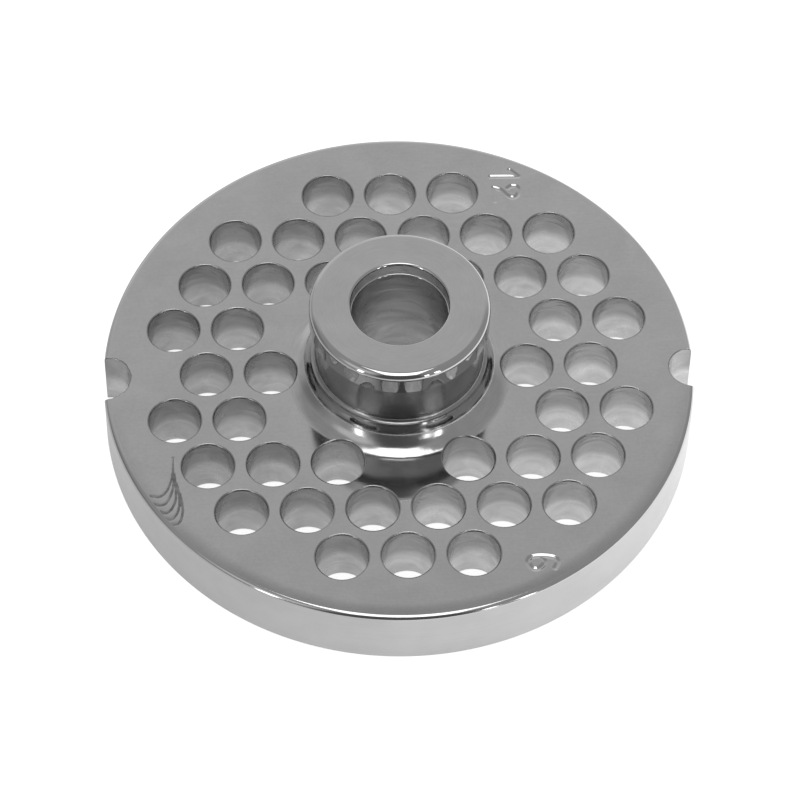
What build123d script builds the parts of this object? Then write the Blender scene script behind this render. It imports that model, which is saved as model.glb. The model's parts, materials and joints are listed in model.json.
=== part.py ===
from build123d import *
from math import ceil, hypot, sqrt
import os

os.makedirs("parts", exist_ok=True)

# Plate. The flat knife side is down at z = 0 and the hub stands on the outlet side.
PLATE_D = 70.0  # outside diameter
PLATE_T = 8.2  # thickness between the knife side and the outlet side
RIM_EDGE = 0.4  # chamfer of the rim on the outlet side
BASE_EDGE = 0.3  # chamfer of the rim and of the bore on the knife side

# Mincing holes, on a triangular lattice with its rows along X
HOLE_D = 6.1
PITCH = 7.6  # distance between neighbouring holes
RIM_LAND = 4.0  # least metal left between a hole and the rim
HUB_LAND = 1.0  # least metal left between a hole and the lip of the hub

# Hub, one turned profile: foot fillet, collar, waist, lip
HUB_H = 12.9  # height above the plate
LIP_D = 21.15
LIP_H = 2.9  # height of the lip, its rounded top edge included
LIP_EDGE = 0.85  # rounding of the lip's top edge
WAIST_D = 19.8  # at the narrowest place between lip and collar
COLLAR_D = 20.85
COLLAR_H = 3.25  # height of the collar's upper edge above the plate
FOOT_FILLET = 2.9  # concave sweep from the collar down to the plate
LIP_STEPS = 3  # straight steps that the rounding of the lip is turned in
FOOT_STEPS = 4  # the same for the sweep of the foot

# Bore, with a steep lead-in at the hub's mouth
BORE_D = 11.2
MOUTH_D = 11.5
MOUTH_EDGE = 0.3  # chamfer at the top of the lead-in
MOUTH_DEPTH = 1.9  # lead-in and chamfer together

# Key notches, half-round and cut through the rim at -X and +X
NOTCH_EDGE = 0.2
LEFT_NOTCH_D = 5.9
LEFT_NOTCH_DEPTH = 3.2
LEFT_NOTCH_Y = -0.1
RIGHT_NOTCH_D = 5.2
RIGHT_NOTCH_DEPTH = 2.9
RIGHT_NOTCH_Y = -0.85

plate_r = PLATE_D / 2
lip_r = LIP_D / 2
waist_r = WAIST_D / 2
collar_r = COLLAR_D / 2
bore_r = BORE_D / 2
mouth_r = MOUTH_D / 2
hub_top = PLATE_T + HUB_H
lip_low = hub_top - LIP_H
collar_top = PLATE_T + COLLAR_H


def stepped(arc, steps):
    """An arc of the profile as a run of short straight lines, each of which turns into a cone."""
    return Polyline(*[arc @ (i / steps) for i in range(steps + 1)])


def turned_body():
    """The plate and its hub, turned about Z in one piece."""
    foot = PLATE_T + FOOT_FILLET
    foot_r = collar_r + FOOT_FILLET
    flat_r = lip_r - LIP_EDGE
    middle = (collar_top + lip_low) / 2
    sweep = RadiusArc((foot_r, PLATE_T), (collar_r, foot), FOOT_FILLET)
    rounding = RadiusArc((lip_r, hub_top - LIP_EDGE), (flat_r, hub_top), -LIP_EDGE)
    with BuildPart() as body:
        with BuildSketch(Plane.XZ):
            with BuildLine():
                Polyline(
                    (flat_r, hub_top),
                    (mouth_r + MOUTH_EDGE, hub_top),
                    (mouth_r, hub_top - MOUTH_EDGE),
                    (bore_r, hub_top - MOUTH_DEPTH),
                    (bore_r, BASE_EDGE),
                    (bore_r + BASE_EDGE, 0),
                    (plate_r - BASE_EDGE, 0),
                    (plate_r, BASE_EDGE),
                    (plate_r, PLATE_T - RIM_EDGE),
                    (plate_r - RIM_EDGE, PLATE_T),
                    (foot_r, PLATE_T),
                )
                stepped(sweep, FOOT_STEPS)
                Line((collar_r, foot), (collar_r, collar_top))
                ThreePointArc((collar_r, collar_top), (waist_r, middle), (lip_r, lip_low))
                Line((lip_r, lip_low), (lip_r, hub_top - LIP_EDGE))
                stepped(rounding, LIP_STEPS)
            make_face()
        revolve(axis=Axis.Z)
    return body.part


def notch_cutter(diameter):
    """A through cutter that also breaks the notch's edge on the outlet face."""
    r = diameter / 2
    with BuildPart() as tool:
        with BuildSketch(Plane.XZ):
            with BuildLine():
                Polyline(
                    (0, -1),
                    (r, -1),
                    (r, PLATE_T - NOTCH_EDGE),
                    (r + NOTCH_EDGE, PLATE_T),
                    (r + NOTCH_EDGE, PLATE_T + 1),
                    (0, PLATE_T + 1),
                    close=True,
                )
            make_face()
        revolve(axis=Axis.Z)
    return tool.part


def hole_centres():
    """Lattice points, one pitch apart, whose hole keeps clear of both the hub's lip and the rim."""
    inner = lip_r + HUB_LAND + HOLE_D / 2
    outer = plate_r - RIM_LAND - HOLE_D / 2
    rows = ceil(plate_r / (PITCH * sqrt(3) / 2))
    columns = ceil(plate_r / PITCH) + 1
    centres = []
    for row in range(-rows, rows + 1):
        for column in range(-columns, columns + 1):
            x = (column + 0.5 * (row % 2)) * PITCH
            y = row * PITCH * sqrt(3) / 2
            if inner <= hypot(x, y) <= outer:
                centres.append((x, y))
    return centres


to_centre = (Align.CENTER, Align.CENTER, Align.MIN)
drill = Pos(0, 0, -1) * Cylinder(HOLE_D / 2, hub_top + 2, align=to_centre)
cuts = [Pos(x, y, 0) * drill for x, y in hole_centres()]
left_x = plate_r - LEFT_NOTCH_DEPTH + LEFT_NOTCH_D / 2
right_x = plate_r - RIGHT_NOTCH_DEPTH + RIGHT_NOTCH_D / 2
cuts.append(Pos(-left_x, LEFT_NOTCH_Y, 0) * notch_cutter(LEFT_NOTCH_D))
cuts.append(Pos(right_x, RIGHT_NOTCH_Y, 0) * notch_cutter(RIGHT_NOTCH_D))

plate = turned_body() - cuts
export_step(plate.solid(), "parts/plate.step")
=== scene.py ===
import json
from functools import lru_cache
from math import acos, atan2, cos, hypot, inf, pi, radians, sin, sqrt

import bpy
import numpy as np
from mathutils import Matrix, Vector
from mathutils.geometry import delaunay_2d_cdt


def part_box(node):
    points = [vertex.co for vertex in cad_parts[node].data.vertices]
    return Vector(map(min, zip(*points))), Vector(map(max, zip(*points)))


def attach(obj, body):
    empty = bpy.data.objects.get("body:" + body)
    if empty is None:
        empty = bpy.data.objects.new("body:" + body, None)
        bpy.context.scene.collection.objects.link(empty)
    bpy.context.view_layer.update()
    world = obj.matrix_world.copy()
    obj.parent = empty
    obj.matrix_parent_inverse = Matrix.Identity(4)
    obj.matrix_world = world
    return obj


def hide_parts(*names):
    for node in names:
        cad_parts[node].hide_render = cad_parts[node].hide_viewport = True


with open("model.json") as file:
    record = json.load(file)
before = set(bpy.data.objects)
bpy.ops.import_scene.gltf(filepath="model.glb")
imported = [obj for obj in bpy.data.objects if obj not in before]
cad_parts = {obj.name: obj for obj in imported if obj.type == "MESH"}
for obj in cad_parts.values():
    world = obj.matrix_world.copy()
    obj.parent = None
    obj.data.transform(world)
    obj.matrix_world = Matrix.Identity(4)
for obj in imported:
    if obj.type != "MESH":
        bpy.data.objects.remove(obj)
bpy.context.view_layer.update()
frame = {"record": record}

MM = 0.001
CORNER_LOW, CORNER_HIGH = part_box("plate")
MOUNTS = {mount["name"]: mount for mount in frame["record"]["mounts"]}

# Sizes are in millimetres, in the frame of the part: knife side at z = 0, hub up.
PLATE_R = CORNER_HIGH[1] / MM
HUB_TOP = CORNER_HIGH[2] / MM
PLATE_T = 8.2
RIM_SOFT, RIM_HARD = 0.7, 0.57  # the rim's edge is rounded softly by the face and harder by the wall
RIM_BREAK = radians(35)  # where the one rounding runs into the other
RIM_ROUND = RIM_SOFT * sin(RIM_BREAK) + RIM_HARD * (1 - sin(RIM_BREAK))
FACE_R = PLATE_R - RIM_ROUND  # the polished face ends here, and the rounded edge starts
RIM_EASE = 14.0  # radius with which the polished face falls away before the rim's edge
EASE_RUN = 1.4  # distance over which it does
BASE_ROUND = 0.12  # edges of rim and bore on the knife side

HOLE_R = 3.05
HOLE_LIP = 0.21  # rounding of a mincing hole on the outlet face
HOLE_LIP_LOW = 0.12  # bevel of a hole on the knife side
LOW_LIP_OUT, LOW_LIP_UP = -0.5, -0.87  # normal of that bevel
PITCH = 7.6
HUB_CLEAR, RIM_CLEAR = 14.6, 27.95  # a hole's centre lies between these distances from the axis

BORE_R = MOUNTS["bore"]["dims"]["r_mm"]
MOUTH_R = 5.75
MOUTH_DEPTH = 1.9
MOUTH_ROUND = 0.3
LIP_R = 10.575
LIP_H = 2.9
LIP_ROUND = 0.85
NECK_R = 9.85
NECK_SWEEP = 0.575  # from the neck out to the edge of the collar
COLLAR_R = 10.425
COLLAR_TOP = PLATE_T + 3.25
FOOT_R = 2.9
TOE_R = COLLAR_R + FOOT_R
SWEEP_R = 11.3  # inside it the foot is part of the turned hub, outside it part of the face

NOTCH_EDGE = 0.16  # rounding of a notch on the outlet face
NOTCHES = {  # direction from the axis, radius, depth from the rim and y of the centre
    "left": (pi, 5.9 / 2, 3.2, -0.1),
    "right": (0.0, 5.2 / 2, 2.9, -0.85),
}
NOTCH_WAVES = [(0.035, 9, 1.0), (0.03, 23, 0.0), (0.015, 41, 0.0)]  # unevenness: size, waves to a turn, shift

# Steps of the mesh: round the hub, a hole, each half of the rim and a notch, then across roundings
TURN_STEPS = 192
HOLE_STEPS = 60
RIM_STEPS = 300
NOTCH_STEPS = 36
HOLE_LIP_STEPS = 6
RIM_ARC_STEPS = 12
BASE_STEPS = 3
EASE_STEPS = 4
LARGE_STEPS = 12  # the foot, the lip's edge and the bore
SWEEP_STEPS = 10
SMALL_STEPS = 6  # the bore's mouth
LIP_WALL_STEPS = 4
CURVE_STEPS = 5  # from one given point of a curve to the next


# ---------------------------------------------------------------- mesh helpers
MERGE = 0.00001  # vertices nearer than this are one


class Skin:
    """Faces with their own corner normals, on vertices that are shared where they meet."""

    def __init__(self):
        self.index = {}
        self.points = []
        self.faces = []
        self.normals = []
        self.slots = []

    def vertex(self, p):
        """Number of the vertex at a point, which is added when there is none yet."""
        key = tuple(round(c / MERGE) for c in p)
        if key not in self.index:
            self.index[key] = len(self.points)
            self.points.append((p[0] * MM, p[1] * MM, p[2] * MM))
        return self.index[key]

    def face(self, corners, normals, slot):
        """A face with its corner normals; corners that fall together are merged."""
        ids = [self.vertex(p) for p in corners]
        keep = [i for i in range(len(ids)) if ids[i] != ids[i - 1]]
        if len(keep) < 3:
            return
        self.faces.append([ids[i] for i in keep])
        self.normals.extend(normals[i] for i in keep)
        self.slots.append(slot)

    def strip(self, low, high, slot, closed=True):
        """A band of faces between two rows of (point, normal), running anticlockwise seen from outside."""
        count = len(low)
        for i in range(count if closed else count - 1):
            j = (i + 1) % count
            quad = (low[i], low[j], high[j], high[i])
            self.face([q[0] for q in quad], [q[1] for q in quad], slot)

    def build(self, name, materials):
        """The piece as an object of the scene."""
        mesh = bpy.data.meshes.new(name)
        mesh.from_pydata(self.points, [], self.faces)
        for material in materials:
            mesh.materials.append(material)
        mesh.polygons.foreach_set("material_index", self.slots)
        mesh.polygons.foreach_set("use_smooth", [True] * len(self.faces))
        mesh.normals_split_custom_set(self.normals)
        mesh.update()
        piece = bpy.data.objects.new(name, mesh)
        bpy.context.scene.collection.objects.link(piece)
        return piece


def unit(v):
    """The vector at a length of one."""
    length = sqrt(sum(c * c for c in v))
    return tuple(c / length for c in v)


def ring(r, z, steps, centre=(0.0, 0.0), nr=0.0, nz=1.0):
    """A circle of (point, normal), with the normal split into its outward and upward parts."""
    row = []
    for i in range(steps):
        a = 2 * pi * i / steps
        c, s = cos(a), sin(a)
        row.append(((centre[0] + r * c, centre[1] + r * s, z), (nr * c, nr * s, nz)))
    return row


# ---------------------------------------------------------------- the outlet face
def hole_centres():
    """Centres of the mincing holes, row by row."""
    centres = []
    rows = int(PLATE_R / PITCH * 2 / sqrt(3))
    for row in range(-rows, rows + 1):
        for column in range(-rows - 1, rows + 2):
            x = (column + 0.5 * (row % 2)) * PITCH
            y = row * PITCH * sqrt(3) / 2
            if HUB_CLEAR < hypot(x, y) < RIM_CLEAR:
                centres.append((x, y))
    return centres


HOLES = hole_centres()


def between(before, start, end, after, f):
    """One coordinate of a smooth line, at the fraction f of the way from start to end."""
    slope = end - before
    bend = 2 * before - 5 * start + 4 * end - after
    twist = 3 * start - before - 3 * end + after
    return 0.5 * (2 * start + slope * f + bend * f**2 + twist * f**3)


def curve(*points):
    """A smooth line through the points, as a row of short steps."""
    row = []
    last = len(points) - 1
    for i in range(last):
        four = [points[max(0, min(last, i + k))] for k in (-1, 0, 1, 2)]
        for step in range(CURVE_STEPS):
            f = step / CURVE_STEPS
            row.append(tuple(between(*places, f) for places in zip(*four)))
    return row + [points[-1]]


# Lines cut into the outlet face, x and y in millimetres, with their depth and half-width:
# the stamped size figures, and the nested lines of the chatter mark by the rim
FIGURE_DEPTH = 0.1
FIGURE_HALF = 0.4
FIGURE_12 = [
    [(12.42, 28.62), (15.8, 28.54), (14.8, 29.6)],
    [(12.72, 24.8), (12.72, 26.9)],
    curve((12.72, 26.9), (13.55, 26.5), (14.1, 25.8), (14.8, 25.3), (15.45, 25.5), (15.75, 26.25),
          (15.5, 26.95), (14.95, 27.1), (14.45, 26.75)),
]
FIGURE_6 = [
    curve((16.78, -28.7), (17.1, -27.9), (16.7, -27.25), (15.3, -27.0), (14.1, -27.15), (13.72, -27.8),
          (14.0, -28.5), (14.6, -28.8), (15.35, -28.4), (15.6, -27.8), (15.3, -27.2)),
]
CHATTER_DEPTH = 0.018
CHATTER_HALF = 0.3
CHATTER_TIP = (-26.85, -11.95)
CHATTER = [
    curve(CHATTER_TIP, (-27.0, -14.4), (-27.5, -16.3), (-28.4, -17.3), (-29.5, -17.15)),
    curve(CHATTER_TIP, (-26.85, -14.6), (-26.95, -16.4), (-27.6, -18.1), (-28.5, -18.5), (-29.45, -18.0)),
    curve((-26.7, -14.2), (-26.55, -16.2), (-26.7, -18.2), (-27.6, -19.6), (-28.9, -19.0)),
    curve((-26.45, -15.6), (-26.15, -17.8), (-26.4, -19.6), (-27.2, -20.5), (-28.4, -19.9)),
    curve((-26.1, -17.0), (-25.8, -19.2), (-26.1, -20.8), (-26.85, -21.2), (-27.9, -20.7)),
]
CORE_TIP, CORE_FOOT = 0.07, 0.15  # half-width of a chatter line's dull bottom, at the tip and farther down
CORE_RUN = 5.0  # distance from the tip over which it widens
RELIEF_FADE = 0.25  # the lines run out over this distance before the rim's edge
FIGURE_STEP = 0.085  # spacing of the mesh that carries the lines
CHATTER_STEP = 0.1
RELIEF_MARGIN = 2.2  # that mesh goes on past a line by this many steps
SLOPE_STEP = 0.01  # distance over which the slope of the face is taken
EDGE_GAP = 0.05  # extra points of the face keep this far from its outer edge
HOLE_GAP = 0.03  # and this far from the holes


def by_figures(x, y):
    """Whether a point of the face may lie on one of the size figures."""
    return x > 12.0 and 24.4 < abs(y) < 30.0


def by_chatter(x, y):
    """Whether it may lie on the chatter mark."""
    return x < -25.0 and -22.0 < y < -11.0


def stroke_distance(x, y, line):
    """Distance from a point to the nearest place on a line."""
    nearest = inf
    for (ax, ay), (bx, by) in zip(line, line[1:]):
        run, rise = bx - ax, by - ay
        f = ((x - ax) * run + (y - ay) * rise) / (run**2 + rise**2)
        f = max(0.0, min(1.0, f))
        nearest = min(nearest, hypot(x - ax - f * run, y - ay - f * rise))
    return nearest


def groove(distance, half, depth):
    """Height of a rounded groove's floor, at a distance from its middle."""
    if distance >= half:
        return 0.0
    return -depth * (0.5 + 0.5 * cos(pi * distance / half))


def ease(r):
    """How far a distance from the axis has come into the part of the face that falls away."""
    return max(min(r, FACE_R) - (FACE_R - EASE_RUN), 0.0)


def fall(r):
    """How far the polished outlet face has fallen away towards the rim, at a distance from the axis."""
    return ease(r)**2 / (2 * RIM_EASE)


def relief(x, y):
    """Height of the outlet face over the plane of the plate, apart from foot and rim."""
    fade = min(1.0, max(0.0, (FACE_R - hypot(x, y)) / RELIEF_FADE))
    if by_figures(x, y):
        distances = [stroke_distance(x, y, line) for line in FIGURE_12 + FIGURE_6]
        return fade * min(groove(distance, FIGURE_HALF, FIGURE_DEPTH) for distance in distances)
    if by_chatter(x, y):
        distances = [stroke_distance(x, y, line) for line in CHATTER]
        return fade * sum(groove(distance, CHATTER_HALF, CHATTER_DEPTH) for distance in distances)
    return 0.0


def relief_points():
    """Extra points that carry the figures and the chatter mark."""
    points = []
    marks = [(FIGURE_12, FIGURE_HALF, FIGURE_STEP), (FIGURE_6, FIGURE_HALF, FIGURE_STEP),
             (CHATTER, CHATTER_HALF, CHATTER_STEP)]
    for lines, half, step in marks:
        reach = half + RELIEF_MARGIN * step
        xs = [p[0] for line in lines for p in line]
        ys = [p[1] for line in lines for p in line]
        columns = int((max(xs) - min(xs) + 2 * reach) / step)
        rows = int((max(ys) - min(ys) + 2 * reach) / step)
        for i in range(columns):
            x = min(xs) - reach + i * step
            for j in range(rows):
                y = min(ys) - reach + (j + 0.5 * (i % 2)) * step
                near = min(stroke_distance(x, y, line) for line in lines)
                if near < reach and hypot(x, y) < FACE_R - EDGE_GAP:
                    points.append((x, y))
    return points


@lru_cache(maxsize=None)
def face_at(x, y):
    """Point and normal of the outlet face at x, y."""
    r = hypot(x, y)
    if r < TOE_R:
        run = TOE_R - r
        drop = sqrt(max(FOOT_R**2 - run**2, 0.0))
        z = PLATE_T + FOOT_R - drop
        n = (run / FOOT_R * x / r, run / FOOT_R * y / r, drop / FOOT_R)
        return (x, y, z), n
    step = SLOPE_STEP
    h = relief(x, y)
    hx = (relief(x + step, y) - relief(x - step, y)) / (2 * step)
    hy = (relief(x, y + step) - relief(x, y - step)) / (2 * step)
    lean = ease(r) / RIM_EASE
    return (x, y, PLATE_T + h - fall(r)), unit((-hx + lean * x / r, -hy + lean * y / r, 1.0))


def notch_centre(side):
    """Centre of a notch's circle."""
    angle, r, depth, y = NOTCHES[side]
    return cos(angle) * (PLATE_R - depth + r), y


def notch_radius(side, angle):
    """Radius of a notch; the left one is a little uneven."""
    r = NOTCHES[side][1]
    if side == "left":
        r += sum(size * sin(waves * angle + shift) for size, waves, shift in NOTCH_WAVES)
    return r


def notch_gap(x, y):
    """Distance from the edge of the nearer notch; negative inside it."""
    gaps = []
    for side in NOTCHES:
        cx, cy = notch_centre(side)
        gaps.append(hypot(x - cx, y - cy) - notch_radius(side, atan2(y - cy, x - cx)) - NOTCH_EDGE)
    return min(gaps)


HALVINGS = 40


def crossing(side, rim_r, notch_grow, upper):
    """Angle at the notch's centre of the point where its edge meets a circle about the axis."""
    cx, cy = notch_centre(side)
    inward = 0.0 if side == "left" else pi
    turn = 1.0 if upper == (side == "left") else -1.0
    near, far = 0.0, pi
    for _ in range(HALVINGS):
        swing = (near + far) / 2
        a = inward + turn * swing
        r = notch_radius(side, a) + notch_grow
        if hypot(cx + r * cos(a), cy + r * sin(a)) < rim_r:
            near = swing
        else:
            far = swing
    return inward + turn * near


def outline(rim_r, notch_grow):
    """The plate's outline as four arcs of (x, y), anticlockwise: rim, left notch, rim, right notch."""
    arcs = {}
    for side in NOTCHES:
        cx, cy = notch_centre(side)
        # both notches are passed from their end at the rim round the inside to the other end
        start = crossing(side, rim_r, notch_grow, side == "left")
        end = crossing(side, rim_r, notch_grow, side != "left")
        points = []
        for i in range(NOTCH_STEPS + 1):
            a = start + (end - start) * i / NOTCH_STEPS
            r = notch_radius(side, a) + notch_grow
            points.append((cx + r * cos(a), cy + r * sin(a)))
        arcs[side] = points
    rims = []
    for first, last in ((arcs["right"][-1], arcs["left"][0]), (arcs["left"][-1], arcs["right"][0])):
        a0 = atan2(first[1], first[0]) % (2 * pi)
        a1 = atan2(last[1], last[0]) % (2 * pi)
        if a1 <= a0:
            a1 += 2 * pi
        turns = [a0 + (a1 - a0) * i / RIM_STEPS for i in range(RIM_STEPS + 1)]
        rims.append([(rim_r * cos(a), rim_r * sin(a)) for a in turns])
    return rims[0], arcs["left"], rims[1], arcs["right"]


WHOLE_HULL = 0  # the kind of result asked for: triangles over the whole hull of the points
NEARLY_ONE = 1e-6  # points nearer than this are one in the triangulation


def triangulate(loops, points, inside):
    """Triangles of the plane region bounded by the loops, through the extra points."""
    given = []
    edges = []
    for loop in loops:
        start = len(given)
        given.extend(loop)
        edges.extend((start + i, start + (i + 1) % len(loop)) for i in range(len(loop)))
    given.extend(points)
    places = [Vector(p) for p in given]
    flat, _, triangles, origins, _, _ = delaunay_2d_cdt(places, edges, [], WHOLE_HULL, NEARLY_ONE)
    # the exact points that were given, so that the region's edges meet the walls round it
    exact = [given[origin[0]] if origin else tuple(p) for p, origin in zip(flat, origins)]
    kept = []
    for triangle in triangles:
        corners = [exact[i] for i in triangle]
        cx = sum(p[0] for p in corners) / 3
        cy = sum(p[1] for p in corners) / 3
        if inside(cx, cy):
            kept.append(corners)
    return kept


NOTCH_SLACK = 0.998  # a flat triangle may reach a little into a notch's round edge


def in_face(inner_r, hole_r, notch_grow):
    """A test for the region of a face that lies outside the hub, the holes and the notches."""
    centres = np.array(HOLES)
    shrink = cos(pi / HOLE_STEPS)

    def inside(x, y):
        if hypot(x, y) < inner_r * cos(pi / TURN_STEPS):
            return False
        if np.min(np.hypot(centres[:, 0] - x, centres[:, 1] - y)) < hole_r * shrink:
            return False
        for side in NOTCHES:
            cx, cy = notch_centre(side)
            r = notch_radius(side, atan2(y - cy, x - cx)) + notch_grow
            if hypot(x - cx, y - cy) < r * NOTCH_SLACK:
                return False
        return True

    return inside


def circle(centre, r, steps):
    """A circle of points, anticlockwise."""
    angles = [2 * pi * i / steps for i in range(steps)]
    return [(centre[0] + r * cos(a), centre[1] + r * sin(a)) for a in angles]


FOOT_STEP = 0.16
FOOT_MARGIN = 0.3


def foot_points():
    """Extra points where the foot of the hub curves up out of the face, and a little past its toe."""
    points = []
    r = SWEEP_R + FOOT_STEP
    while r < TOE_R + FOOT_MARGIN:
        points.extend(circle((0, 0), r, TURN_STEPS))
        r += FOOT_STEP
    return points


def ease_points():
    """Extra points where the outlet face falls away towards the rim."""
    points = []
    for i in range(EASE_STEPS):
        r = FACE_R - EASE_RUN * (i + 1) / EASE_STEPS
        points.extend(circle((0, 0), r, RIM_STEPS * 2))
    return points


# Slots of the piece's materials, in the order in which add_plate lists them
FACE, HUB, NECK, WALL, BORE, RIM, BASE, FOOT, MARK, MOUTH = range(10)


def outlet_slot(corners):
    """Slot of a triangle of the outlet face: face, foot of the hub or bottom of the chatter mark."""
    x = sum(p[0] for p in corners) / 3
    y = sum(p[1] for p in corners) / 3
    if hypot(x, y) < TOE_R:
        return FOOT
    if by_chatter(x, y):
        grown = min(1.0, max(0.0, (CHATTER_TIP[1] - y) / CORE_RUN))
        core = CORE_TIP + (CORE_FOOT - CORE_TIP) * grown
        if min(stroke_distance(x, y, line) for line in CHATTER) < core:
            return MARK
    return FACE


def add_outlet_face(skin):
    """The outlet face, with the outer part of the hub's foot, the figures and the chatter mark."""
    lip = HOLE_R + HOLE_LIP
    arcs = outline(FACE_R, NOTCH_EDGE)
    edge = [p for arc in arcs for p in arc[:-1]]
    loops = [edge, circle((0, 0), SWEEP_R, TURN_STEPS)]
    loops += [circle(c, lip, HOLE_STEPS) for c in HOLES]
    centres = np.array(HOLES)
    extra = []
    for x, y in foot_points() + ease_points() + relief_points():
        clear_of_holes = np.min(np.hypot(centres[:, 0] - x, centres[:, 1] - y)) > lip + HOLE_GAP
        if clear_of_holes and notch_gap(x, y) > EDGE_GAP:
            extra.append((x, y))
    for corners in triangulate(loops, extra, in_face(SWEEP_R, lip, NOTCH_EDGE)):
        placed = [face_at(x, y) for x, y in corners]
        skin.face([p[0] for p in placed], [p[1] for p in placed], outlet_slot(corners))


def add_knife_face(skin):
    """The flat face on the knife side."""
    lip = HOLE_R + HOLE_LIP_LOW
    bore = BORE_R + BASE_ROUND
    arcs = outline(PLATE_R - BASE_ROUND, 0.0)
    edge = [p for arc in arcs for p in arc[:-1]]
    loops = [edge, circle((0, 0), bore, TURN_STEPS)] + [circle(c, lip, HOLE_STEPS) for c in HOLES]
    down = (0.0, 0.0, -1.0)
    for corners in triangulate(loops, [], in_face(bore, lip, 0.0)):
        skin.face([(x, y, 0.0) for x, y in reversed(corners)], [down] * 3, BASE)


def add_hole(skin, centre):
    """The wall of a mincing hole, with its lip, which follows the outlet face, and the bevel below."""
    rows = []
    for i in range(HOLE_LIP_STEPS + 1):
        t = pi / 2 * i / HOLE_LIP_STEPS
        r = HOLE_R + HOLE_LIP * (1 - sin(t))
        row = []
        for p, n in ring(r, 0.0, HOLE_STEPS, centre, -sin(t), cos(t)):
            top, up = face_at(centre[0] + (p[0] - centre[0]) * (HOLE_R + HOLE_LIP) / r,
                              centre[1] + (p[1] - centre[1]) * (HOLE_R + HOLE_LIP) / r)
            normal = unit((n[0] + up[0] * cos(t), n[1] + up[1] * cos(t), cos(t) * up[2]))
            row.append(((p[0], p[1], top[2] - HOLE_LIP * (1 - cos(t))), normal))
        rows.append(row)
    low = HOLE_LIP_LOW
    rows.append(ring(HOLE_R, low, HOLE_STEPS, centre, -1.0, 0.0))
    for upper, lower in zip(rows, rows[1:]):
        skin.strip(upper, lower, WALL)
    skin.strip(ring(HOLE_R, low, HOLE_STEPS, centre, -1.0, 0.0),
               ring(HOLE_R + low, 0.0, HOLE_STEPS, centre, LOW_LIP_OUT, LOW_LIP_UP), WALL)


def rim_edge(tilt):
    """How far in and how far down the rounded edge lies where it leans outward by tilt."""
    soft, hard = min(tilt, RIM_BREAK), max(tilt, RIM_BREAK)
    inward = RIM_SOFT * (sin(RIM_BREAK) - sin(soft)) + RIM_HARD * (1 - sin(hard))
    drop = RIM_SOFT * (1 - cos(soft)) + RIM_HARD * (cos(RIM_BREAK) - cos(hard))
    return inward, drop


def rim_levels():
    """Levels from the outlet face down: radius, growth of a notch, both tilts, height, height at a notch."""
    levels = []
    for i in range(RIM_ARC_STEPS + 1):
        t = pi / 2 * i / RIM_ARC_STEPS
        inward, drop = rim_edge(t)
        tilt = max(t, EASE_RUN / RIM_EASE)
        levels.append((PLATE_R - inward, NOTCH_EDGE * (1 - sin(t)), tilt, t,
                       PLATE_T - drop, PLATE_T - NOTCH_EDGE * (1 - cos(t))))
    for i in range(BASE_STEPS + 1):
        t = pi / 2 * i / BASE_STEPS
        levels.append((PLATE_R - BASE_ROUND * (1 - cos(t)), 0.0, pi / 2 + t, pi / 2,
                       BASE_ROUND * (1 - sin(t)), BASE_ROUND * (1 - sin(t))))
    return levels


def rim_row(arc, tilt, height):
    """One level of the rim, as a row of (point, normal)."""
    row = []
    for x, y in arc:
        r = hypot(x, y)
        fallen = fall(r) if height > PLATE_T / 2 else 0.0
        row.append(((x, y, height - fallen), (sin(tilt) * x / r, sin(tilt) * y / r, cos(tilt))))
    return row


def notch_row(arc, side, tilt, height, rim_r, rim_height):
    """One level of a notch; towards the rim it follows the drop of the rim's edge."""
    cx, cy = notch_centre(side)
    row = []
    for x, y in arc:
        r = hypot(x, y)
        fallen = fall(r) if rim_height > PLATE_T / 2 else 0.0
        closeness = max(0.0, 1.0 - (rim_r - r) / RIM_ROUND)
        z = height + (rim_height - height) * closeness**2 - fallen
        d = hypot(x - cx, y - cy)
        row.append(((x, y, z), ((cx - x) / d * sin(tilt), (cy - y) / d * sin(tilt), cos(tilt))))
    return row


def add_rim(skin):
    """Rounded rim, its wall and the two notches."""
    rows = []
    for rim_r, grow, tilt, notch_tilt, height, notch_height in rim_levels():
        far_rim, left, near_rim, right = outline(rim_r, grow)
        placed = [
            rim_row(far_rim, tilt, height),
            notch_row(left, "left", notch_tilt, notch_height, rim_r, height),
            rim_row(near_rim, tilt, height),
            notch_row(right, "right", notch_tilt, notch_height, rim_r, height),
        ]
        # each end of the rim takes the height of the notch beside it
        for k in (0, 2):
            before, after = placed[k - 1], placed[(k + 1) % 4]
            placed[k][0] = (before[-1][0], placed[k][0][1])
            placed[k][-1] = (after[0][0], placed[k][-1][1])
        rows.append(placed)
    for upper, lower in zip(rows, rows[1:]):
        for k in range(4):
            skin.strip(lower[k], upper[k], RIM if k in (0, 2) else WALL, closed=False)


# ---------------------------------------------------------------- the hub
def arc_profile(centre, r, start, end, steps, hollow=False):
    """Points (radius, z, normal out, normal up) along an arc; hollow turns the normals to its centre."""
    turn = -1.0 if hollow else 1.0
    rows = []
    for i in range(steps + 1):
        a = start + (end - start) * i / steps
        rows.append((centre[0] + r * cos(a), centre[1] + r * sin(a), turn * cos(a), turn * sin(a)))
    return rows


def line_profile(start, end, steps=1):
    """The same along a straight line, with the normals to its right."""
    run, rise = end[0] - start[0], end[1] - start[1]
    length = hypot(run, rise)
    rows = []
    for i in range(steps + 1):
        f = i / steps
        rows.append((start[0] + run * f, start[1] + rise * f, rise / length, -run / length))
    return rows


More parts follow.
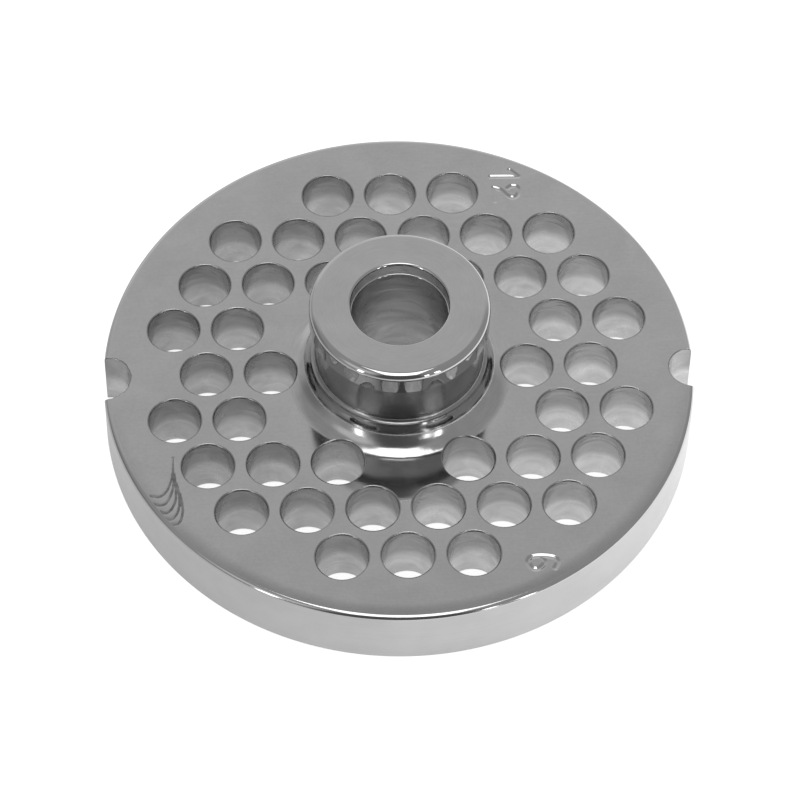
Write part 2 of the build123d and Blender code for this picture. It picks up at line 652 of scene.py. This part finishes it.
def hub_sections():
    """The hub's profile from the foot up over the lip and down the bore, in smooth sections."""
    foot_centre = (TOE_R, PLATE_T + FOOT_R)
    foot_start = pi + acos((TOE_R - SWEEP_R) / FOOT_R)
    sweep_centre = (NECK_R + NECK_SWEEP, COLLAR_TOP + NECK_SWEEP)
    lip_low = HUB_TOP - LIP_H
    lip_centre = (LIP_R - LIP_ROUND, HUB_TOP - LIP_ROUND)
    mouth_centre = (MOUTH_R + MOUTH_ROUND, HUB_TOP - MOUTH_ROUND)
    shoulder = MOUTH_R - BORE_R
    shoulder_top = HUB_TOP - MOUTH_DEPTH + shoulder
    shoulder_centre = (MOUTH_R, HUB_TOP - MOUTH_DEPTH)
    bore_low = (BORE_R, BASE_ROUND)
    return [
        (arc_profile(foot_centre, FOOT_R, foot_start, pi, LARGE_STEPS, hollow=True), FOOT),
        (line_profile((COLLAR_R, PLATE_T + FOOT_R), (COLLAR_R, COLLAR_TOP)), HUB),
        (arc_profile(sweep_centre, NECK_SWEEP, 1.5 * pi, pi, SWEEP_STEPS, hollow=True), NECK),
        (line_profile((NECK_R, COLLAR_TOP + NECK_SWEEP), (NECK_R, lip_low)), NECK),
        (line_profile((NECK_R, lip_low), (LIP_R, lip_low)), NECK),
        (line_profile((LIP_R, lip_low), (LIP_R, HUB_TOP - LIP_ROUND), LIP_WALL_STEPS), HUB),
        (arc_profile(lip_centre, LIP_ROUND, 0.0, pi / 2, LARGE_STEPS), HUB),
        (line_profile((LIP_R - LIP_ROUND, HUB_TOP), (MOUTH_R + MOUTH_ROUND, HUB_TOP)), HUB),
        (arc_profile(mouth_centre, MOUTH_ROUND, pi / 2, pi, SMALL_STEPS), HUB),
        (line_profile((MOUTH_R, HUB_TOP - MOUTH_ROUND), (MOUTH_R, shoulder_top), SMALL_STEPS), MOUTH),
        (arc_profile(shoulder_centre, shoulder, pi / 2, pi, SMALL_STEPS), HUB),
        (line_profile((BORE_R, HUB_TOP - MOUTH_DEPTH), bore_low, LARGE_STEPS), BORE),
        (line_profile(bore_low, (BORE_R + BASE_ROUND, 0.0)), BASE),
    ]


def add_hub(skin):
    """The hub, foot to lip, and the bore, turned from their profile."""
    for profile, slot in hub_sections():
        rows = [ring(r, z, TURN_STEPS, (0, 0), nr, nz) for r, z, nr, nz in profile]
        for low, high in zip(rows, rows[1:]):
            skin.strip(low, high, slot)


# ---------------------------------------------------------------- materials
# The walls of the mincing holes carry painted shade: their colour turns darker upwards, where the height in
# millimetres and what the marks add to it come into this range, in place of the light that reaches their
# lower part from below. The marks add up to WALL_SHADE_WANDER, and half of it on average.
WALL_SHADE_BORDER = (5.2, 6.4)
WALL_SHADE_WANDER = 3.0


def link(tree, a, b):
    """Let the output a feed the socket b."""
    tree.links.new(a, b)


def worked_out(tree, kind, operation, *values):
    """A node of a kind that does one operation; each value is a constant or the output of a node."""
    node = tree.nodes.new(kind)
    node.operation = operation
    for socket, value in zip(node.inputs, values):
        if isinstance(value, bpy.types.NodeSocket):
            link(tree, value, socket)
        else:
            socket.default_value = value
    return node


def number(tree, operation, *values):
    """The result of an operation on numbers."""
    return worked_out(tree, "ShaderNodeMath", operation, *values).outputs[0]


def vector(tree, operation, *values):
    """The result of an operation that gives a vector."""
    return worked_out(tree, "ShaderNodeVectorMath", operation, *values).outputs["Vector"]


def measure(tree, operation, *values):
    """The result of an operation on vectors that gives a number."""
    return worked_out(tree, "ShaderNodeVectorMath", operation, *values).outputs["Value"]


def object_axis(tree, axis, scale=(1, 1, 1)):
    """One of the object coordinates, stretched by its scale."""
    split = tree.nodes.new("ShaderNodeSeparateXYZ")
    link(tree, scaled_place(tree, scale), split.inputs[0])
    return split.outputs[axis]


def scaled_place(tree, scale=(1, 1, 1)):
    """Object coordinates, stretched by a scale for each axis."""
    place = tree.nodes.new("ShaderNodeTexCoord")
    stretch = tree.nodes.new("ShaderNodeMapping")
    stretch.inputs["Scale"].default_value = scale
    link(tree, place.outputs["Object"], stretch.inputs["Vector"])
    return stretch.outputs["Vector"]


def round_place(tree, around, outward, up):
    """Coordinates that follow the turning of the piece: angle, radius and height, each with its scale."""
    place = scaled_place(tree)
    flat = vector(tree, "MULTIPLY", place, (1, 1, 0))
    turned = vector(tree, "MULTIPLY", vector(tree, "NORMALIZE", flat), (around, around, around))
    long = number(tree, "MULTIPLY", measure(tree, "LENGTH", flat), outward)
    tall = number(tree, "MULTIPLY_ADD", object_axis(tree, "Z"), up, long)
    lift = tree.nodes.new("ShaderNodeCombineXYZ")
    link(tree, tall, lift.inputs["Z"])
    return vector(tree, "ADD", turned, lift.outputs[0])


def noise(tree, place, scale, detail=3.0, rough=0.5, warp=0.0):
    """Soft noise, from about 0.3 to 0.7."""
    texture = tree.nodes.new("ShaderNodeTexNoise")
    texture.inputs["Scale"].default_value = scale
    texture.inputs["Detail"].default_value = detail
    texture.inputs["Roughness"].default_value = rough
    texture.inputs["Distortion"].default_value = warp
    link(tree, place, texture.inputs["Vector"])
    return texture.outputs["Fac"]


def spread(tree, value, low, high, start=0.3, end=0.7):
    """A noise value spread over the range from low to high."""
    ramp = tree.nodes.new("ShaderNodeMapRange")
    ramp.inputs["From Min"].default_value = start
    ramp.inputs["From Max"].default_value = end
    ramp.inputs["To Min"].default_value = low
    ramp.inputs["To Max"].default_value = high
    link(tree, value, ramp.inputs["Value"])
    return ramp.outputs["Result"]


def times(tree, a, b):
    """The product of two outputs."""
    return number(tree, "MULTIPLY", a, b)


def bump(tree, height, distance, below=None):
    """A normal that follows a height of up to the distance, in metres, on top of another such normal."""
    node = tree.nodes.new("ShaderNodeBump")
    node.inputs["Strength"].default_value = 1.0
    node.inputs["Distance"].default_value = distance
    link(tree, height, node.inputs["Height"])
    if below is not None:
        link(tree, below, node.inputs["Normal"])
    return node.outputs["Normal"]


def metal(name):
    """A new material for bare metal: the material, its nodes and its shader."""
    material = bpy.data.materials.new(name)
    material.use_nodes = True
    shader = material.node_tree.nodes["Principled BSDF"]
    shader.inputs["Metallic"].default_value = 1.0
    return material, material.node_tree, shader


def face_steel():
    """Outlet face: ground and polished, with faint clouds, specks and long fine scratches."""
    material, tree, shader = metal("face_steel")
    clouds = noise(tree, scaled_place(tree), 160, detail=3, rough=0.55, warp=0.6)
    specks = noise(tree, scaled_place(tree), 2600, detail=2, rough=0.5)
    scratches = noise(tree, scaled_place(tree, (3.0, 60.0, 1.0)), 110, detail=4, rough=0.6, warp=0.4)
    level = times(tree, spread(tree, clouds, 0.57, 0.63), spread(tree, specks, 0.975, 1.02))
    link(tree, times(tree, level, spread(tree, scratches, 0.97, 1.01)), shader.inputs["Base Color"])
    link(tree, spread(tree, clouds, 0.07, 0.11), shader.inputs["Roughness"])
    waves = bump(tree, noise(tree, scaled_place(tree), 90, detail=1, rough=0.4), 0.00002)
    link(tree, bump(tree, scratches, 0.0000015, waves), shader.inputs["Normal"])
    return material


def hub_steel():
    """Hub: turned bright, with faint rings and slightly uneven reflections."""
    material, tree, shader = metal("hub_steel")
    rings = noise(tree, round_place(tree, 0.5, 900, 900), 12, detail=3, rough=0.6)
    uneven = noise(tree, scaled_place(tree), 260, detail=2, rough=0.5, warp=0.3)
    level = times(tree, spread(tree, rings, 0.58, 0.63), spread(tree, uneven, 0.96, 1.03))
    link(tree, level, shader.inputs["Base Color"])
    link(tree, spread(tree, rings, 0.035, 0.07), shader.inputs["Roughness"])
    link(tree, bump(tree, uneven, 0.00003), shader.inputs["Normal"])
    return material


def foot_steel():
    """Foot of the hub: left softer by the turning, where it runs out into the face."""
    material, tree, shader = metal("foot_steel")
    rings = noise(tree, round_place(tree, 0.5, 700, 700), 12, detail=3, rough=0.6)
    uneven = noise(tree, scaled_place(tree), 330, detail=3, rough=0.5, warp=0.4)
    level = times(tree, spread(tree, rings, 0.56, 0.62), spread(tree, uneven, 0.95, 1.03))
    link(tree, level, shader.inputs["Base Color"])
    link(tree, spread(tree, uneven, 0.1, 0.19), shader.inputs["Roughness"])
    link(tree, bump(tree, uneven, 0.00003), shader.inputs["Normal"])
    return material


def worn_steel():
    """Dull bottom of the chatter mark."""
    material, tree, shader = metal("worn_steel")
    grime = noise(tree, scaled_place(tree), 900, detail=3, rough=0.6)
    link(tree, spread(tree, grime, 0.2, 0.36), shader.inputs["Base Color"])
    link(tree, spread(tree, grime, 0.3, 0.45), shader.inputs["Roughness"])
    return material


def neck_steel():
    """The groove of the hub, left rougher as the tool turned it; its darker colour is painted shade under the
    lip.
    """
    material, tree, shader = metal("neck_steel")
    rings = noise(tree, round_place(tree, 0.6, 1500, 2600), 9, detail=4, rough=0.7)
    uneven = noise(tree, scaled_place(tree, (1, 1, 0.5)), 420, detail=3, rough=0.55, warp=0.5)
    # painted shade: the groove's colour is set darker than the rest of the hub's steel
    level = times(tree, spread(tree, rings, 0.36, 0.44), spread(tree, uneven, 0.88, 1.06))
    link(tree, level, shader.inputs["Base Color"])
    link(tree, spread(tree, rings, 0.15, 0.27), shader.inputs["Roughness"])
    link(tree, bump(tree, uneven, 0.00004), shader.inputs["Normal"])
    return material


def drilled_steel():
    """Walls of the mincing holes: painted shade makes their upper part darker, with faint wavy marks."""
    material, tree, shader = metal("drilled_steel")
    marks = noise(tree, scaled_place(tree, (1.0, 1.0, 2.6)), 150, detail=2, rough=0.5, warp=1.0)
    stains = noise(tree, scaled_place(tree), 330, detail=3, rough=0.55, warp=0.6)
    height = object_axis(tree, "Z", (1, 1, 1 / MM))
    border = number(tree, "MULTIPLY_ADD", marks, WALL_SHADE_WANDER, height)
    # painted shade: the wall's colour falls from 0.7 low down to 0.46 higher up
    shade = spread(tree, border, 0.7, 0.46, *WALL_SHADE_BORDER)
    level = times(tree, shade, spread(tree, stains, 0.82, 1.05))
    link(tree, times(tree, level, spread(tree, marks, 0.84, 1.08)), shader.inputs["Base Color"])
    link(tree, spread(tree, stains, 0.2, 0.3), shader.inputs["Roughness"])
    link(tree, bump(tree, marks, 0.0001), shader.inputs["Normal"])
    return material


def bore_steel():
    """Wall of the bore: darker by painted shade inside the bore, with curved marks of the boring tool."""
    material, tree, shader = metal("bore_steel")
    marks = noise(tree, scaled_place(tree, (1.0, 1.3, 3.0)), 130, detail=2, rough=0.5, warp=1.3)
    stains = noise(tree, scaled_place(tree), 300, detail=3, rough=0.5)
    # painted shade: the bore's colour is set darker than the rest of the steel; the marks vary it
    level = times(tree, spread(tree, marks, 0.36, 0.54), spread(tree, stains, 0.85, 1.05))
    link(tree, level, shader.inputs["Base Color"])
    link(tree, spread(tree, stains, 0.22, 0.34), shader.inputs["Roughness"])
    link(tree, bump(tree, marks, 0.00008), shader.inputs["Normal"])
    return material


def mouth_steel():
    """Widened mouth of the bore: made bright by painted light, its colour raised above the steel's, broken up
    by the tool's marks.
    """
    material, tree, shader = metal("mouth_steel")
    marks = noise(tree, scaled_place(tree, (1.0, 1.0, 0.5)), 300, detail=2, rough=0.5, warp=0.8)
    # painted light: a colour of up to 1.0 brightens the mouth beyond bare steel
    link(tree, spread(tree, marks, 0.75, 1.0), shader.inputs["Base Color"])
    link(tree, spread(tree, marks, 0.4, 0.6), shader.inputs["Roughness"])
    link(tree, bump(tree, marks, 0.0003), shader.inputs["Normal"])
    return material


def rim_steel():
    """Rim: turned bright, with fine lines that run round it."""
    material, tree, shader = metal("rim_steel")
    lines = noise(tree, round_place(tree, 0.5, 0, 2600), 9, detail=4, rough=0.65)
    uneven = noise(tree, scaled_place(tree), 190, detail=2, rough=0.5, warp=0.3)
    level = times(tree, spread(tree, lines, 0.585, 0.635), spread(tree, uneven, 0.96, 1.03))
    link(tree, level, shader.inputs["Base Color"])
    link(tree, spread(tree, lines, 0.07, 0.12), shader.inputs["Roughness"])
    link(tree, bump(tree, uneven, 0.00002), shader.inputs["Normal"])
    return material


def knife_side_steel():
    """Knife side: flat ground, with long straight grinding lines and rings where the knife has run."""
    material, tree, shader = metal("knife_side_steel")
    lines = noise(tree, scaled_place(tree, (0.5, 26.0, 1.0)), 130, detail=4, rough=0.65, warp=0.1)
    worn = noise(tree, round_place(tree, 0.4, 1400, 0), 8, detail=3, rough=0.6)
    level = times(tree, spread(tree, lines, 0.53, 0.63), spread(tree, worn, 0.93, 1.03))
    link(tree, level, shader.inputs["Base Color"])
    link(tree, spread(tree, worn, 0.17, 0.27), shader.inputs["Roughness"])
    link(tree, bump(tree, lines, 0.000004), shader.inputs["Normal"])
    return material


# ---------------------------------------------------------------- the piece
def add_plate():
    """The whole plate, which is one piece."""
    skin = Skin()
    add_outlet_face(skin)
    add_knife_face(skin)
    for centre in HOLES:
        add_hole(skin, centre)
    add_rim(skin)
    add_hub(skin)
    steels = (face_steel, hub_steel, neck_steel, drilled_steel, bore_steel, rim_steel, knife_side_steel,
              foot_steel, worn_steel, mouth_steel)
    piece = skin.build("plate_steel", [steel() for steel in steels])
    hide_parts("plate")
    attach(piece, "root")


# ---------------------------------------------------------------- stage and light
FOCAL_MM = 186.25
SENSOR_MM = 36.0
CAMERA_DISTANCE = 490.65  # from the middle of the outlet face, along the view
CAMERA_RISE = 54.685  # degrees over the horizon
CAMERA_TURN = 3.083  # degrees round the axis
CAMERA_ROLL = 0.894
CAMERA_ASIDE = (-0.135, -3.69)  # where the middle of the face lies from the view's axis, right and down


def add_camera():
    """The camera, as fitted to the photo."""
    e, y, r = radians(CAMERA_RISE), radians(CAMERA_TURN), radians(CAMERA_ROLL)
    tilt = Matrix(((1, 0, 0), (0, -sin(e), -cos(e)), (0, cos(e), -sin(e))))
    turn = Matrix(((cos(y), -sin(y), 0), (sin(y), cos(y), 0), (0, 0, 1)))
    roll = Matrix(((cos(r), -sin(r), 0), (sin(r), cos(r), 0), (0, 0, 1)))
    look = roll @ tilt @ turn
    place = look.transposed() @ -Vector((*CAMERA_ASIDE, CAMERA_DISTANCE))
    place.z += PLATE_T
    axes = Matrix((look[0], -look[1], -look[2])).transposed()
    data = bpy.data.cameras.new("camera")
    data.lens = FOCAL_MM
    data.sensor_width = SENSOR_MM
    data.clip_start = 0.01
    camera = bpy.data.objects.new("camera", data)
    camera.matrix_world = Matrix.Translation(place * MM) @ axes.to_4x4()
    bpy.context.scene.collection.objects.link(camera)
    bpy.context.scene.camera = camera


def direction(turn, rise):
    """Unit vector to a point of the studio: degrees clockwise from the far side, degrees over the horizon."""
    t, e = radians(turn), radians(rise)
    return Vector((sin(t) * cos(e), cos(t) * cos(e), sin(e)))


FLOOR_SHADE = 0.85
FLOOR_SEEN = 0.75  # glow of the paper where the camera looks straight at it
FLOOR_LEFT, FLOOR_RIGHT = 0.1, 0.68  # painted light: its glow seen only in the steel, on the left and on the right of the piece
FLOOR_BLEND = 0.05  # the one changes to the other over this half-width
FLOOR_HALF = 3.0
FLOOR_NEAR = -0.4  # the paper ends a little behind the camera
FLOOR_GAP = 0.0001  # it lies this far below the piece


def add_floor():
    """White paper under the piece; the steel mirrors a painted glow of it, which is brighter on the right."""
    mesh = bpy.data.meshes.new("floor")
    half = FLOOR_HALF
    z = CORNER_LOW[2] - FLOOR_GAP
    corners = [(-half, FLOOR_NEAR, z), (half, FLOOR_NEAR, z), (half, half, z), (-half, half, z)]
    mesh.from_pydata(corners, [], [(0, 1, 2, 3)])
    floor = bpy.data.objects.new("floor", mesh)
    material = bpy.data.materials.new("floor_paper")
    material.use_nodes = True
    tree = material.node_tree
    shader = tree.nodes["Principled BSDF"]
    shader.inputs["Roughness"].default_value = 0.9
    shader.inputs["Specular IOR Level"].default_value = 0.0
    shader.inputs["Base Color"].default_value = (FLOOR_SHADE, FLOOR_SHADE, FLOOR_SHADE, 1.0)
    shader.inputs["Emission Color"].default_value = (1.0, 1.0, 1.0, 1.0)
    path = tree.nodes.new("ShaderNodeLightPath")
    aside = spread(tree, object_axis(tree, "X"), FLOOR_LEFT, FLOOR_RIGHT, -FLOOR_BLEND, FLOOR_BLEND)
    # painted reflection: the paper glows for reflected rays only, brighter on the right of the piece
    mirrored = times(tree, path.outputs["Is Glossy Ray"], aside)
    straight = number(tree, "MAXIMUM", path.outputs["Is Camera Ray"], path.outputs["Is Transmission Ray"])
    glow = number(tree, "MULTIPLY_ADD", straight, FLOOR_SEEN, mirrored)
    link(tree, glow, shader.inputs["Emission Strength"])
    mesh.materials.append(material)
    bpy.context.scene.collection.objects.link(floor)


STUDIO_GREY = 0.35
STUDIO_DARKEST = 0.1
# Soft regions of the studio round the plate: turn, rise, half-width and softness in degrees,
# and the light they add or take
STUDIO = [
    ("far_sky", -4, 0, 60, 8, 0.2),
    ("backdrop", -8, 10, 27, 4, 0.15),
    ("camera_side_low", 182, 10, 26, 7, -0.25),
    ("camera_side_high", 182, 40, 20, 7, -0.25),
    ("left_front", -130, 42, 14, 8, 0.35),
    ("left_low", -70, 5, 25, 14, -0.12),
]


def add_world():
    """The studio round the plate; the camera itself sees it white."""
    world = bpy.data.worlds.new("studio")
    bpy.context.scene.world = world
    world.use_nodes = True
    tree = world.node_tree
    background = tree.nodes["Background"]
    place = tree.nodes.new("ShaderNodeTexCoord")
    total = STUDIO_GREY
    for name, turn, rise, half, soft, amount in STUDIO:
        ramp = tree.nodes.new("ShaderNodeMapRange")
        ramp.name = name
        ramp.interpolation_type = "SMOOTHSTEP"
        ramp.inputs["From Min"].default_value = cos(radians(half + soft))
        ramp.inputs["From Max"].default_value = cos(radians(max(half - soft, 0)))
        ramp.inputs["To Min"].default_value = 0.0
        ramp.inputs["To Max"].default_value = amount
        towards = measure(tree, "DOT_PRODUCT", place.outputs["Generated"], direction(turn, rise))
        link(tree, towards, ramp.inputs["Value"])
        total = number(tree, "ADD", total, ramp.outputs["Result"])
    lit = number(tree, "MAXIMUM", total, STUDIO_DARKEST)
    path = tree.nodes.new("ShaderNodeLightPath")
    seen = number(tree, "MAXIMUM", path.outputs["Is Camera Ray"], lit)
    link(tree, seen, background.inputs["Color"])


# Lamps: turn and rise in degrees, distance, width and height in metres, and radiance
LAMPS = [
    ("overhead", 180, 81, 1.0, (0.42, 0.72), 1.9),
    ("left_lamp", 180 + 43, 17, 1.2, (0.13, 0.56), 3.0),
    ("right_lamp", 180 - 38, 17, 1.2, (0.1, 0.5), 3.0),
    ("right_strip", 180 - 26, 15, 1.2, (0.09, 0.4), 3.0),
]


def area_light(name, turn, rise, distance, size, radiance):
    """A lamp that faces the plate."""
    data = bpy.data.lights.new(name, "AREA")
    data.shape = "RECTANGLE"
    data.size, data.size_y = size
    data.energy = radiance * pi * size[0] * size[1]
    light = bpy.data.objects.new(name, data)
    towards = direction(turn, rise)
    light.location = towards * distance
    light.rotation_euler = towards.to_track_quat("Z", "Y").to_euler()
    bpy.context.scene.collection.objects.link(light)


add_plate()
add_camera()
add_floor()
add_world()
for lamp in LAMPS:
    area_light(*lamp)
bpy.context.scene.view_settings.view_transform = "Standard"
